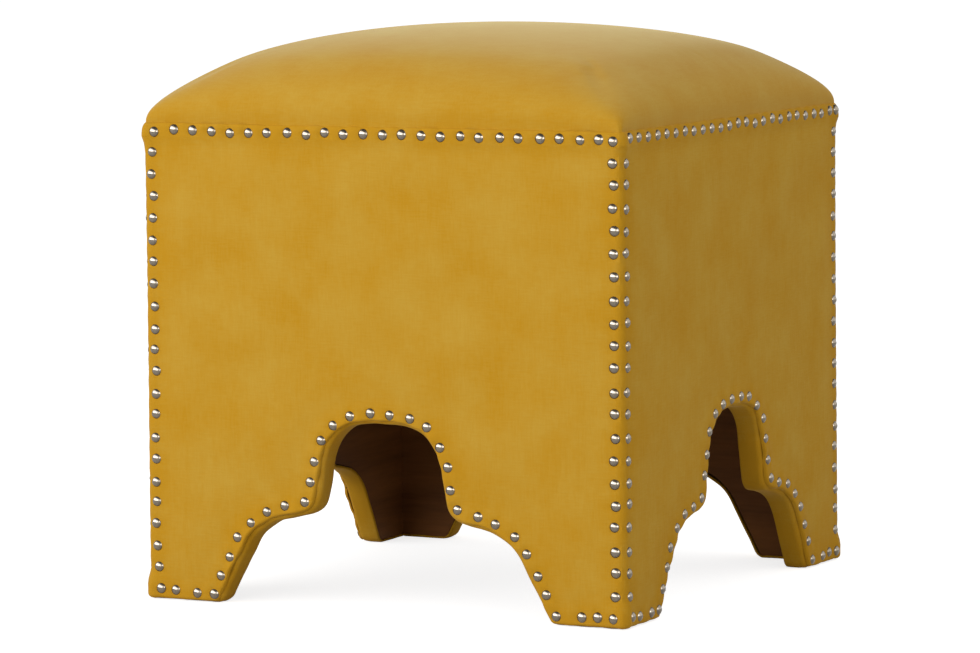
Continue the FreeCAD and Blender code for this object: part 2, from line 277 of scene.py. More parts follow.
def apply_modifier(obj, kind, **settings):
    """Add a modifier with these settings and make its result the mesh."""
    activate(obj)
    modifier = obj.modifiers.new(kind.title(), kind)
    for name, value in settings.items():
        setattr(modifier, name, value)
    bpy.ops.object.modifier_apply(modifier=modifier.name)


def turned(points, step):
    """Points of the front, turned about Z to another side."""
    turn = math.radians(90 * step)
    x, y, z = points.T
    return np.column_stack([x * math.cos(turn) - y * math.sin(turn),
                            x * math.sin(turn) + y * math.cos(turn), z])


def cloth_thickness(obj, thickness):
    """Thicken a sheet towards its inner side."""
    apply_modifier(obj, "SOLIDIFY", thickness=thickness, offset=-1.0)


def ride(obj, slot, *nodes):
    """Smooth a finished piece, hang it on the body it rides on, and hide the solids it stands for; the slot
    is not used.
    """
    activate(obj)
    bpy.ops.object.shade_smooth_by_angle(angle=math.radians(50))
    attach(obj, BODY)
    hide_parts(*nodes)


# Lines of the cut-out and places of the nails, both read from the solids


def hem_line(sizes):
    """Lower edge of a side cover, foot to foot, as (x, z) from left to right."""
    points = places_of(frame["nodes"]["front_cover"])
    lower = points[(points[:, 1] < -sizes.face + 0.2 * MM) & (points[:, 2] < sizes.top - 5 * MM)]
    _, first = np.unique(np.round(lower[:, 0], 5), return_index=True)
    return lower[first][:, [0, 2]]


def nail_marks(side, sizes):
    """Middles of a side's nail solids as (x, z) of the front, from the floor up."""
    points = turned(places_of(frame["nodes"][f"{side}_nails"]), -SIDES.index(side))[:, [0, 2]]
    groups = []
    for point in points:
        near = next((g for g in groups if np.hypot(*(g[0] - point)) < 2.2 * sizes.nail_radius), None)
        if near is None:
            groups.append([point])
        else:
            near.append(point)
    marks = np.array([(np.min(g, axis=0) + np.max(g, axis=0)) / 2 for g in groups])
    return marks[np.lexsort((marks[:, 0], marks[:, 1]))]


def placed_nails(side, sizes):
    """A side's nails, off their marks as hand-set nails are, and further in beside a corner."""
    marks = nail_marks(side, sizes)
    draw = random.Random(f"{side} nails")
    stray = [[draw.gauss(0.0, 1.0), draw.gauss(0.0, 1.0)] for _ in marks]
    placed = marks + np.clip(stray, -STRAY_LIMIT, STRAY_LIMIT) * sizes.nail_stray
    beside_corner = abs(marks[:, 0]) > abs(marks[:, 0]).max() - CORNER_BAND
    placed[:, 0] -= np.where(beside_corner, sizes.column_inset * np.sign(marks[:, 0]), 0.0)
    return placed


def corner_reach(sizes):
    """Flat lengths: middle to the start of a corner's round, and along that round."""
    return sizes.face - sizes.corner_round, sizes.corner_round * math.pi / 2


def flat_nails(side, sizes):
    """Nails near a side's cloth, with those of its neighbours, on the cloth laid flat."""
    straight, arc = corner_reach(sizes)
    step = SIDES.index(side)
    own = placed_nails(side, sizes)
    before = placed_nails(SIDES[step - 1], sizes)
    after = placed_nails(SIDES[(step + 1) % 4], sizes)
    near, next_side = straight - 10 * MM, [2 * straight + arc, 0.0]
    before = before[before[:, 0] > near] - next_side
    after = after[after[:, 0] < -near] + next_side
    return np.concatenate([own, before, after])


# Side covers


def cover_ends(sizes):
    """Left and right edge of a side cover laid flat: it runs on to the nails round the left corner."""
    straight, arc = corner_reach(sizes)
    return -straight - arc - LAP_PAST, straight - LAP_SHORT


def edge_fill(line, sizes):
    """How far the padded edge stands into the cut-out: most on the legs, not under the feet."""
    height = line[:, 1]
    on_legs = 1 - smooth_step(height, 95 * MM, 130 * MM)
    off_floor = smooth_step(height, 0, 6 * MM)
    return sizes.edge_fill * on_legs * off_floor


def cover_hem(sizes):
    """Lower hem of a side cover laid flat, from left to right."""
    left, right = cover_ends(sizes)
    line = hem_line(sizes)
    line = np.concatenate([[[left, line[0, 1]]], line[1:-1], [[right, line[-1, 1]]]])
    line = eased(resampled(line, EDGE_STEP), 1)
    sway = 1 + 0.4 * waves(line, 30 * MM, "hem")
    back = sizes.hem_back * sway * smooth_step(line[:, 1], 1 * MM, 9 * MM)
    back -= 0.7 * edge_fill(line, sizes)
    hem = line - normals_of(line) * back[:, None]
    hem[0, 0], hem[-1, 0] = left, right
    return hem


def cover_rows(sizes):
    """Rows of points side by side along the lower hem, and along the upper one."""
    left, right = cover_ends(sizes)
    lower = [cover_hem(sizes)]
    count = round((right - left) / EDGE_STEP) + 1
    upper = [np.column_stack([np.linspace(right, left, count), np.full(count, sizes.top)])]
    for gap in HEM_ROWS_MM:
        row = eased(lower[-1] - normals_of(lower[-1]) * gap * MM, 2)
        row[0, 0], row[-1, 0] = left, right
        lower.append(row)
        upper.append(upper[-1] - [0.0, gap * MM])
    return lower, upper


def lay_flat_cover(name, lower, upper):
    """Cover laid flat: rows of faces along both hems and a grid between them."""
    points, faces = [], []
    for rows in (lower, upper):
        for row in rows:
            start, size = len(points), len(row)
            points += [(x, z, 0.0) for x, z in row]
            if row is not rows[0]:
                faces += [(start - size + k, start - size + k + 1, start + k + 1, start + k)
                          for k in range(size - 1)]
    split = sum(len(row) for row in lower)
    below = range(split - len(lower[-1]), split)
    above = range(len(points) - len(upper[-1]), len(points))
    faces.append([*below, *above])
    mesh = bpy.data.meshes.new(name)
    mesh.from_pydata(points, [], faces)
    cover = bpy.data.objects.new(name, mesh)
    bpy.context.scene.collection.objects.link(cover)
    activate(cover)
    mesh.polygons.foreach_set("select", np.arange(len(faces)) == len(faces) - 1)
    bpy.ops.object.mode_set(mode="EDIT")
    bpy.ops.mesh.select_mode(type="FACE")
    bpy.ops.mesh.hide(unselected=True)
    flat = np.concatenate([lower[-1], upper[-1]])
    for axis, normal in ((0, (1, 0, 0)), (1, (0, 1, 0))):
        for place in np.arange(flat[:, axis].min() + GRID_STEP, flat[:, axis].max(), GRID_STEP):
            bpy.ops.mesh.select_all(action="SELECT")
            bpy.ops.mesh.bisect(plane_co=Vector(normal) * place, plane_no=normal)
    bpy.ops.mesh.reveal(select=False)
    bpy.ops.mesh.select_all(action="SELECT")
    bpy.ops.mesh.remove_doubles(threshold=0.25 * MM)
    bpy.ops.object.mode_set(mode="OBJECT")
    return cover


def nearest_nail(flat, nails):
    """Distance and way from each point of the flat cloth to the nail next to it."""
    offset = nails[None, :, :] - flat[:, None, :]
    gaps = np.hypot(offset[..., 0], offset[..., 1])
    nearest = gaps.argmin(axis=1)
    rows = np.arange(len(flat))
    return gaps[rows, nearest], offset[rows, nearest]


def cover_stand(flat, hem, nails, sizes, side):
    """How far the cloth stands off the face, its drift towards the nails, and its painted shade near the
    nails, the hems and the corners.
    """
    gap, pull = nearest_nail(flat, nails)
    height = flat[:, 1]
    to_hem = distance_to_line(flat, hem)
    to_top = sizes.top - height
    edge = np.minimum(to_hem, to_top)
    straight, arc = corner_reach(sizes)
    to_corner = np.minimum(abs(flat[:, 0] + straight + arc / 2), abs(flat[:, 0] - straight - arc / 2))
    corner = bell(to_corner, 11 * MM)
    foot = corner * (1 - smooth_step(height, 17 * MM, 26 * MM))
    crest = corner * (1 - smooth_step(to_top, 12 * MM, 24 * MM))

    # Padding over the face and towards the floor, and the folds of the hems
    stand = LOFT * smooth_step(edge, 10 * MM, 45 * MM) * smooth_step(to_corner, 10 * MM, 45 * MM)
    stand += LOFT * (1 - smooth_step(height, 0, 300 * MM))
    stand += sizes.hem_fold * (1 - smooth_step(to_hem, 12 * MM, 17 * MM))
    stand += sizes.top_fold * (1 - smooth_step(to_top, 12 * MM, 18 * MM))

    # Slack of the face, and of the hem between its nails
    slack = smooth_step(edge, 8 * MM, 30 * MM) * smooth_step(to_corner, 6 * MM, 30 * MM)
    stand += COVER_SLACK * slack * waves(flat, 90 * MM, f"{side} slack")
    lift = (1 - bell(gap, 8 * MM)) * (1 - smooth_step(edge, 1 * MM, 13 * MM))
    lift *= smooth_step(height, 12 * MM, 24 * MM) * smooth_step(to_corner, 5 * MM, 12 * MM)
    lift *= np.clip(0.6 + 0.8 * waves(flat, 40 * MM, f"{side} hem"), 0.0, None)
    stand += HEM_LIFT[side] * lift

    # Layers of cloth at the upper corner and the foot, and dimples at the nails
    below = np.where(to_top > 9 * MM, 14 * MM, 9 * MM)
    stand += CORNER_BULGE * corner * bell(to_top - 9 * MM, below) + FOOT_BULGE * foot
    stand -= sizes.pucker * bell(gap, 5.5 * MM)

    # Edges that roll in: over which reach, how deep, at what distance, and for which part
    rolls = ((3 * MM, 3.2 * MM, to_hem, 1.0), (6 * MM, 3.2 * MM, to_top, 1.0),
             (7 * MM, 2.5 * MM, height, foot), (11 * MM, 2.4 * MM, to_top, crest))
    for reach, depth, distance, part in rolls:
        roll = np.clip(1 - distance / reach, 0.0, 1.0)
        stand -= depth * part * (1 - np.sqrt(1 - roll ** 2))

    drift = pull * (DRIFT_SHARE * bell(gap, 9 * MM) * smooth_step(to_corner, 3 * MM, 8 * MM))[:, None]
    # Painted shade: the colour deepens near the nails, the hems and the corners
    wear = bell(gap, 12 * MM) + 0.7 * bell(edge, 9 * MM) + 0.5 * bell(to_corner, 8 * MM)
    return stand, drift, np.clip(wear, 0, 1)


def wrapped(flat, stand, sizes):
    """Flat cloth onto the front face, and round the corner where it runs past the face."""
    straight, arc = corner_reach(sizes)
    run, height = flat.T
    past = np.clip(-straight - run, 0.0, arc)
    beyond = np.clip(-straight - arc - run, 0.0, None)
    turn = past / sizes.corner_round
    reach = sizes.corner_round + stand
    x = np.where(past > 0, -straight - reach * np.sin(turn), run)
    y = np.where(past > 0, -straight - reach * np.cos(turn), -sizes.face - stand) + beyond
    return np.column_stack([x, y, height])


class FOOTSTOOL_OT_cover_sides(bpy.types.Operator):
    """Stretch a velvet cover over each side, with folded hems drawn in at the nails."""

    bl_idname = "footstool.cover_sides"
    bl_label = "Cover the Sides"

    def execute(self, context):
        sizes = context.scene.footstool_sizes
        lower, upper = cover_rows(sizes)
        hem, outline = lower[0], np.concatenate([lower[0], upper[0]])
        pattern = lay_flat_cover("cover_pattern", lower, upper)
        flat = places_of(pattern)[:, :2]
        for step, side in enumerate(SIDES):
            cover = bpy.data.objects.new(f"{side}_velvet", pattern.data.copy())
            cover.data.name = cover.name
            context.scene.collection.objects.link(cover)
            stand, drift, wear = cover_stand(flat, hem, flat_nails(side, sizes), sizes, side)
            put_places(cover, turned(wrapped(flat + drift, stand, sizes), step))
            # Painted shade near the nails, hems and corners, for the velvet to read
            put_attribute(cover, "wear", wear)
            cloth_thickness(cover, sizes.cloth)
            cover.data.materials.append(velvet("cover_velvet", sheen=0.22, spread=0.32))
            ride(cover, "velvet", f"{side}_cover", f"{side}_padding")
        bpy.data.objects.remove(pattern)
        return {"FINISHED"}


# Edge bands


def band_line(sizes):
    """Finished edge of the cut-out and feet, turned up at its left end behind the next cover."""
    line = hem_line(sizes)
    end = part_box("front_edge_band")[1].x
    left = -sizes.face + 2 * MM
    path = [[left, 16 * MM], [left, line[0, 1]], *line[1:-1], [end - 20 * MM, line[-1, 1]]]
    path = eased(resampled(np.array(path), EDGE_STEP), 2)
    return path + normals_of(path) * (BAND_OUT + edge_fill(path, sizes))[:, None]


def band_profile(sizes):
    """Section of the band as (outward, depth), from the inner lip round to the outer one."""
    back = sizes.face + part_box("front_edge_band")[1].y
    inner, outer = BAND_INNER_ROUND, BAND_OUTER_ROUND
    points = [(-2.4 * MM, back - 0.5 * MM), (-2.0 * MM, back - 0.1 * MM)]
    for turn in np.linspace(0.0, math.pi / 2, 6):
        points.append((-inner + inner * math.sin(turn), back - inner + inner * math.cos(turn)))
    for share in (0.25, 0.5, 0.75):
        depth = (back - inner) + (BAND_UNDER + outer - back + inner) * share
        points.append((0.5 * MM * math.sin(math.pi * share), depth))
    for turn in np.linspace(math.pi / 2, 0.0, 8):
        points.append((-outer + outer * math.sin(turn), BAND_UNDER + outer - outer * math.cos(turn)))
    points += [(-7.0 * MM, BAND_UNDER), (-10.5 * MM, BAND_UNDER)]
    return np.array(points)


def lip_share(line, profile):
    """Share of its full width that the band's lip keeps, less where the line bends tightly."""
    share = np.clip(0.75 * bend_radius(line) / abs(profile[:, 0]).max(), 0.2, 1.0)
    for _ in range(3):
        share = np.minimum(share, np.minimum(np.roll(share, 1) + 0.1, np.roll(share, -1) + 0.1))
    return share


class FOOTSTOOL_OT_fold_bands(bpy.types.Operator):
    """Fold a velvet band round the sawn edge of each side's cut-out and under its feet."""

    bl_idname = "footstool.fold_bands"
    bl_label = "Fold the Edge Bands"

    def execute(self, context):
        sizes = context.scene.footstool_sizes
        line = band_line(sizes)
        normal = normals_of(line)
        profile = band_profile(sizes)
        share = lip_share(line, profile)
        for step, side in enumerate(SIDES):
            bpy.ops.object.select_all(action="DESELECT")
            bpy.ops.mesh.primitive_grid_add(x_subdivisions=len(line) - 1, size=2.0,
                                            y_subdivisions=len(profile) - 1)
            band = new_piece(f"{side}_band")
            grid = places_of(band)
            along = np.rint((grid[:, 0] + 1) / 2 * (len(line) - 1)).astype(int)
            across = np.rint((grid[:, 1] + 1) / 2 * (len(profile) - 1)).astype(int)
            out, depth = profile[across].T
            slack = waves(np.column_stack([along * EDGE_STEP, depth]), 35 * MM, f"{side} band")
            slack = np.maximum(slack, DRAWN_IN)
            out = out + BAND_SLACK * slack * np.clip(1 + out / (9 * MM), 0.0, 1.0)
            place = line[along] + normal[along] * (out * np.where(out < 0, share[along], 1.0))[:, None]
            height = np.maximum(place[:, 1], 0.0)
            put_places(band, turned(np.column_stack([place[:, 0], depth - sizes.face, height]), step))
            # Painted shade: the whole band takes the deeper colour, for the shade in the cut-out
            put_attribute(band, "wear", np.full(len(grid), 0.8))
            cloth_thickness(band, sizes.cloth)
            band.data.materials.append(velvet("band_velvet", sheen=0.12, spread=0.32))
            ride(band, "velvet", f"{side}_edge_band")
        return {"FINISHED"}


# Seat


def crown_steps(sizes, count):
    """Places across the seat that are evenly spread along its domed section."""
    half = sizes.seat_half
    share = 1 - (1 - np.linspace(0.0, 1.0, 4001)) ** 4
    height = sizes.crown_rise * (1 - share ** 2).clip(0.0) ** 0.25
    line = np.column_stack([share * half, height])
    side = resampled(line, np.hypot(*np.diff(line, axis=0).T).sum() / count)[:, 0]
    return np.concatenate([-side[:0:-1], side]) / half


def crown_height(across, along):
    """Share of the full rise at a place on the square of the seat, each way -1 to 1."""
    return ((1 - across ** 2).clip(0.0) * (1 - along ** 2).clip(0.0)) ** 0.25


def belly(rise):
    """How many times wider than its foot the seat is, at a rise above the crown base."""
    return 1 + BELLY_SHARE * bell(rise - BELLY_RISE, BELLY_REACH)


def corners_eased(x, y, half, radius):
    """Draw the square's corners in to a round."""
    straight = half - radius
    over_x, over_y = np.clip(abs(x) - straight, 0, None), np.clip(abs(y) - straight, 0, None)
    reach = np.hypot(over_x, over_y)
    share = np.where(reach > 0, np.maximum(over_x, over_y) / np.maximum(reach, 1e-9), 1.0)
    new_x = np.where(over_x * over_y > 0, np.sign(x) * (straight + over_x * share), x)
    new_y = np.where(over_x * over_y > 0, np.sign(y) * (straight + over_y * share), y)
    return new_x, new_y


def swell(seat, held, cap):
    """Blow the cover up like a filled cushion, its rim held; no point moves further than the cap."""
    rim = seat.vertex_groups.new(name="rim")
    rim.add([int(index) for index in np.flatnonzero(held)], 1.0, "ADD")
    start = places_of(seat)
    cloth = seat.modifiers.new("Cloth", "CLOTH")
    cloth.settings.quality = 6
    cloth.settings.vertex_group_mass = rim.name
    cloth.settings.use_pressure = True
    cloth.settings.uniform_pressure_force = 4.0
    cloth.settings.effector_weights.gravity = 0.0
    for number in range(1, SWELL_FRAMES + 1):
        bpy.context.scene.frame_set(number)
    activate(seat)
    bpy.ops.object.modifier_apply(modifier=cloth.name)
    bpy.context.scene.frame_set(1)
    moved = places_of(seat) - start
    reach = np.linalg.norm(moved, axis=1)
    put_places(seat, start + moved * np.minimum(1.0, cap / np.maximum(reach, 1e-9))[:, None])
    seat.vertex_groups.clear()


class FOOTSTOOL_OT_pad_seat(bpy.types.Operator):
    """Raise the padded seat: a velvet dome with soft ridges at its corners and a hidden skirt."""

    bl_idname = "footstool.pad_seat"
    bl_label = "Pad the Seat"

    def execute(self, context):
        sizes = context.scene.footstool_sizes
        steps = crown_steps(sizes, SEAT_STEPS)
        bpy.ops.object.select_all(action="DESELECT")
        count = len(steps) - 1
        bpy.ops.mesh.primitive_grid_add(x_subdivisions=count, y_subdivisions=count, size=2.0)
        seat = new_piece("seat_velvet")
        grid = places_of(seat)
        across = steps[np.rint((grid[:, 0] + 1) / 2 * count).astype(int)]
        along = steps[np.rint((grid[:, 1] + 1) / 2 * count).astype(int)]
        x, y = corners_eased(across * sizes.seat_half, along * sizes.seat_half, sizes.seat_half, 5 * MM)
        rise = sizes.crown_rise - sizes.swell
        height = sizes.crown_base + rise * crown_height(across, along)
        width = belly(height - sizes.crown_base)
        put_places(seat, np.column_stack([x * width, y * width, height]))
        bpy.ops.object.mode_set(mode="EDIT")
        bpy.ops.mesh.select_all(action="SELECT")
        bpy.ops.mesh.region_to_loop()
        # The skirt goes down in three steps, the first one drawn in behind the side covers
        drop = sizes.skirt_bottom - sizes.crown_base
        for tuck in (1 / belly(0.0), 1.0, 1.0):
            bpy.ops.mesh.extrude_region_move(TRANSFORM_OT_translate={"value": (0, 0, drop / 3)})
            bpy.ops.transform.resize(value=(tuck, tuck, 1.0), center_override=(0.0, 0.0, 0.0))
        bpy.ops.object.mode_set(mode="OBJECT")
        points = places_of(seat)
        swell(seat, points[:, 2] < sizes.crown_base + 0.1 * MM, sizes.swell)
        # Painted shade: the colour deepens towards the foot of the dome, where it meets the hems
        low = smooth_step(points[:, 2], sizes.top + 30 * MM, sizes.top)
        put_attribute(seat, "wear", 0.6 * low)
        apply_modifier(seat, "SUBSURF", levels=1, render_levels=1)
        seat.data.materials.append(velvet("seat_velvet", sheen=0.42, spread=0.42))
        ride(seat, "velvet", "seat_cover", "seat_wadding", "seat_foam")
        return {"FINISHED"}


# Nails


def model_nail(sizes):
    """One domed head: the cap of a ball, with a short rim that sinks in the cloth."""
    ball = (sizes.nail_radius ** 2 + sizes.nail_rise ** 2) / (2 * sizes.nail_rise)
    bpy.ops.object.select_all(action="DESELECT")
    bpy.ops.mesh.primitive_uv_sphere_add(segments=14, ring_count=8, radius=ball)
    nail = new_piece("nail_pattern")
    bpy.ops.object.mode_set(mode="EDIT")
    bpy.ops.mesh.select_all(action="SELECT")
    bpy.ops.mesh.bisect(plane_co=(0, 0, ball - sizes.nail_rise), plane_no=(0, 0, 1), clear_inner=True)
    bpy.ops.mesh.extrude_region_move(TRANSFORM_OT_translate={"value": (0, 0, -1.0 * MM)})
    bpy.ops.mesh.select_all(action="SELECT")
    bpy.ops.transform.translate(value=(0, 0, sizes.nail_rise - ball))
    bpy.ops.object.mode_set(mode="OBJECT")
    reach = np.hypot(*places_of(nail)[:, :2].T) / sizes.nail_radius
    # Darker towards the rim: partly tarnished metal, partly painted shade and dark reflection
    put_attribute(nail, "rim", smooth_step(reach, 0.55, 1.1))
    return nail


class FOOTSTOOL_OT_set_nails(bpy.types.Operator):
    """Set a domed nail on each mark, a little off and aslant as nails set by hand are."""

    bl_idname = "footstool.set_nails"
    bl_label = "Set the Nails"

    def execute(self, context):
        sizes = context.scene.footstool_sizes
        pattern = model_nail(sizes)
        hem = cover_hem(sizes)
        for step, side in enumerate(SIDES):
            marks = placed_nails(side, sizes)
            stand, _, _ = cover_stand(marks, hem, flat_nails(side, sizes), sizes, side)
            seats = turned(wrapped(marks, stand + NAIL_SEAT, sizes), step)
            draw = random.Random(f"{side} set")
            outward = Vector((math.sin(math.radians(90 * step)), -math.cos(math.radians(90 * step)), 0))
            copies = []
            for seat in seats:
                copy = bpy.data.objects.new("nail", pattern.data.copy())
                context.scene.collection.objects.link(copy)
                slant = Vector([draw.gauss(0.0, 0.05) for _ in range(3)])
                facing = (outward + slant).to_track_quat("Z", "Y").to_matrix().to_4x4()
                spin = Matrix.Rotation(draw.uniform(0, math.tau), 4, "Z")
                size = Matrix.Scale(draw.uniform(0.97, 1.03), 4)
                copy.data.transform(Matrix.Translation(seat) @ facing @ spin @ size)
                copies.append(copy)
            bpy.ops.object.select_all(action="DESELECT")
            for copy in copies:
                copy.select_set(True)
            context.view_layer.objects.active = copies[0]
            bpy.ops.object.join()
            nails = new_piece(f"{side}_nail_heads")
            nails.data.materials.append(nail_metal())
            ride(nails, "nail_metal", f"{side}_nails")
        bpy.data.objects.remove(pattern)
        return {"FINISHED"}


# Finishes


def new_group(name, inputs, outputs):
    """Shader group with named sockets: (name, kind, default) in, (name, kind) out."""
    group = bpy.data.node_groups.new(name, "ShaderNodeTree")
    for label, kind, default in inputs:
        socket = group.interface.new_socket(label, in_out="INPUT", socket_type=f"NodeSocket{kind}")
        if default is not None:
            socket.default_value = default
    for label, kind in outputs:
        group.interface.new_socket(label, in_out="OUTPUT", socket_type=f"NodeSocket{kind}")
    start = group.nodes.new("NodeGroupInput")
    end = group.nodes.new("NodeGroupOutput")
    return group, start.outputs, end.inputs


def node(tree, kind, links=None, **settings):
    """Add a node, set its values by socket name or number, and link its inputs."""
    made = tree.nodes.new(f"ShaderNode{kind}")
    for name, value in settings.items():
        setattr(made, name, value)
    for key, value in (links or {}).items():
        socket = made.inputs[key]
        if isinstance(value, bpy.types.NodeSocket):
            tree.links.new(value, socket)
        else:
            socket.default_value = value
    return made


def blend(tree, factor, first, second):
    """Mix of two colours by a factor."""
    return node(tree, "Mix", {0: factor, 6: first, 7: second}, data_type="RGBA").outputs[2]


def fit(tree, value, low, high, to_low=0.0, to_high=1.0):
    """Spread a value from one range to another."""
    return node(tree, "MapRange", {0: value, 1: low, 2: high, 3: to_low, 4: to_high}).outputs[0]


def figure(tree, place, scale, stretch=(1, 1, 1), detail=3.0):
    """Noise on the piece's own place, drawn out along an axis."""
    spread = node(tree, "Mapping", {"Vector": place, "Scale": stretch})
    return node(tree, "TexNoise", {"Vector": spread.outputs[0], "Scale": scale,
                                   "Detail": detail}).outputs["Fac"]


def arithmetic(tree, operation, first, second):
    """Result of a maths operation on two values."""
    return node(tree, "Math", {0: first, 1: second}, operation=operation).outputs[0]


def pile_group():
    """Velvet pile: patches brushed both ways, the pale ones a painted sheen, upright streaks, the tooth of
    the weave and painted shade.
    """
    if "pile" in bpy.data.node_groups:
        return bpy.data.node_groups["pile"]
    group, given, result = new_group(
        "pile",
        (("Place", "Vector", None), ("Deep", "Color", None), ("Pale", "Color", None),
         ("Wear", "Float", 0.0)),
        (("Color", "Color"), ("Roughness", "Float"), ("Height", "Float")),
    )
    patches = fit(group, figure(group, given["Place"], 22.0, detail=6.0), 0.27, 0.74)
    streaks = fit(group, figure(group, given["Place"], 120.0, (1, 1, 0.08)), 0.3, 0.7)
    threads = figure(group, given["Place"], 700.0, (0.12, 0.12, 1))
    warp = figure(group, given["Place"], 700.0, (1, 1, 0.12))
    tooth = arithmetic(group, "ADD", threads, warp)
    nap = arithmetic(group, "MULTIPLY", streaks, 0.14)
    brushed = arithmetic(group, "ADD", arithmetic(group, "MULTIPLY", patches, 0.9), nap)
    # Painted shade draws the colour towards the deep pile
    brushed = arithmetic(group, "SUBTRACT", brushed, arithmetic(group, "MULTIPLY", given["Wear"], 0.5))
    fleck = fit(group, tooth, 0.75, 1.25, -0.2, 0.2)
    shade = arithmetic(group, "ADD", brushed, fleck)
    shade.node.use_clamp = True
    # Random patches of deep pile and of painted sheen
    group.links.new(blend(group, shade, given["Deep"], given["Pale"]), result["Color"])
    group.links.new(fit(group, shade, 0.0, 1.0, 0.92, 0.8), result["Roughness"])
    group.links.new(tooth, result["Height"])
    return group


def grain_group():
    """Wood grain: drawn-out bands, fine fibres and pores along the grain."""
    if "grain" in bpy.data.node_groups:
        return bpy.data.node_groups["grain"]
    group, given, result = new_group(
        "grain",
        (("Place", "Vector", None), ("Dark", "Color", None), ("Light", "Color", None)),
        (("Color", "Color"), ("Roughness", "Float"), ("Height", "Float")),
    )
    bands = fit(group, figure(group, given["Place"], 34.0, detail=5.0), 0.35, 0.66)
    fibres = figure(group, given["Place"], 420.0, detail=2.0)
    tone = arithmetic(group, "ADD", arithmetic(group, "MULTIPLY", bands, 0.7),
                      arithmetic(group, "MULTIPLY", fibres, 0.45))
    tone.node.use_clamp = True
    group.links.new(blend(group, tone, given["Dark"], given["Light"]), result["Color"])
    group.links.new(fit(group, tone, 0.0, 1.0, 0.5, 0.68), result["Roughness"])
    group.links.new(fibres, result["Height"])
    return group


def new_material(name):
    """Empty node material and its shader."""
    material = bpy.data.materials.new(name)
    material.use_nodes = True
    return material, material.node_tree, material.node_tree.nodes["Principled BSDF"].inputs


def finish_with(tree, shader, group, values, bump, depth):
    """Feed a finish group's colour, roughness and height to the shader."""
    made = node(tree, "Group", values, node_tree=group)
    tree.links.new(made.outputs["Color"], shader["Base Color"])
    tree.links.new(made.outputs["Roughness"], shader["Roughness"])
    relief = node(tree, "Bump", {"Strength": bump, "Distance": depth, "Height": made.outputs["Height"]})
    tree.links.new(relief.outputs[0], shader["Normal"])


def velvet(name, sheen, spread):
    """Short-piled mustard velvet, with a pale sheen where it is seen aslant."""
    if name in bpy.data.materials:
        return bpy.data.materials[name]
    colours = bpy.context.scene.footstool_colours
    material, tree, shader = new_material(name)
    place = node(tree, "TexCoord").outputs["Object"]
    # Painted shade that each piece gives its points
    painted_shade_factor = node(tree, "Attribute", attribute_name="wear").outputs["Fac"]
    finish_with(tree, shader, pile_group(),
                {"Place": place, "Deep": colours.pile_deep, "Pale": colours.pile_pale_sheen, "Wear": painted_shade_factor},
                bump=0.25, depth=0.4 * MM)
    shader["Specular IOR Level"].default_value = 0.12
    shader["Sheen Weight"].default_value = sheen
    shader["Sheen Roughness"].default_value = spread
    shader["Sheen Tint"].default_value = (1.0, 0.98, 0.64, 1.0)
    return material


def timber(name, dark, light, stretch, gloss):
    """Wood whose grain runs along the axes that `stretch` draws out."""
    if name in bpy.data.materials:
        return bpy.data.materials[name]
    material, tree, shader = new_material(name)
    place = node(tree, "Mapping", {"Vector": node(tree, "TexCoord").outputs["Object"], "Scale": stretch})
    finish_with(tree, shader, grain_group(), {"Place": place.outputs[0], "Dark": dark, "Light": light},
                bump=0.3, depth=0.3 * MM)
    shader["Specular IOR Level"].default_value = gloss
    return material


def nail_metal():
    """Polished pewter-grey metal with faint scuffs, darker towards the rim: partly tarnished metal, partly
    painted shade and dark reflection.
    """
    if "nail_metal_polished" in bpy.data.materials:
        return bpy.data.materials["nail_metal_polished"]
    colours = bpy.context.scene.footstool_colours
    material, tree, shader = new_material("nail_metal_polished")
    place = node(tree, "TexCoord").outputs["Object"]
    rim = node(tree, "Attribute", attribute_name="rim").outputs["Fac"]
    scuff = fit(tree, figure(tree, place, 900.0, detail=2.0), 0.45, 0.75, 0.0, 0.5)
    # Painted shade at the rim, with real scuffs
    dull = arithmetic(tree, "ADD", rim, scuff)
    dull.node.use_clamp = True
    tree.links.new(blend(tree, dull, colours.metal, colours.tarnish_and_shade), shader["Base Color"])
    tree.links.new(fit(tree, dull, 0.0, 1.0, 0.12, 0.36), shader["Roughness"])
    shader["Metallic"].default_value = 1.0
    return material


class FOOTSTOOL_OT_finish_timber(bpy.types.Operator):
    """Stain the side boards and leave the inner timber plain, each with its own grain."""

    bl_idname = "footstool.finish_timber"
    bl_label = "Finish the Timber"

    def execute(self, context):
        colours = context.scene.footstool_colours
        stain = (colours.stain_dark, colours.stain_light)
        pine = (colours.pine_dark, colours.pine_light)
        lying, upright = (0.08, 0.08, 1), (1, 1, 0.08)
        finishes = {"seat_deck": timber("deck_pine", *pine, stretch=(0.06, 1, 1), gloss=0.3)}
        for side in SIDES:
            finishes[f"{side}_panel"] = timber("board_stain", *stain, stretch=lying, gloss=0.12)
            finishes[f"{side}_cleat"] = timber("cleat_pine", *pine, stretch=lying, gloss=0.3)
        for corner in CORNERS:
            finishes[f"{corner}_block"] = timber("block_pine", *pine, stretch=upright, gloss=0.3)
        for name, material in finishes.items():
            board = frame["nodes"][name]
            for slot in board.material_slots:
                slot.material = material
        return {"FINISHED"}


# Stage


# Camera, worked out from the nail rows: degrees, millimetres of lens, metres
CAMERA_TURN = 26.65
CAMERA_DIP = 5.61
CAMERA_ROLL = -0.54
CAMERA_LENS = 191.64
CAMERA_DISTANCE = 4.5518
CAMERA_TARGET = (0.0, 0.0, 0.2342)
CAMERA_SHIFT = (-0.0081, -0.0126)
SENSOR_WIDTH = 36.0

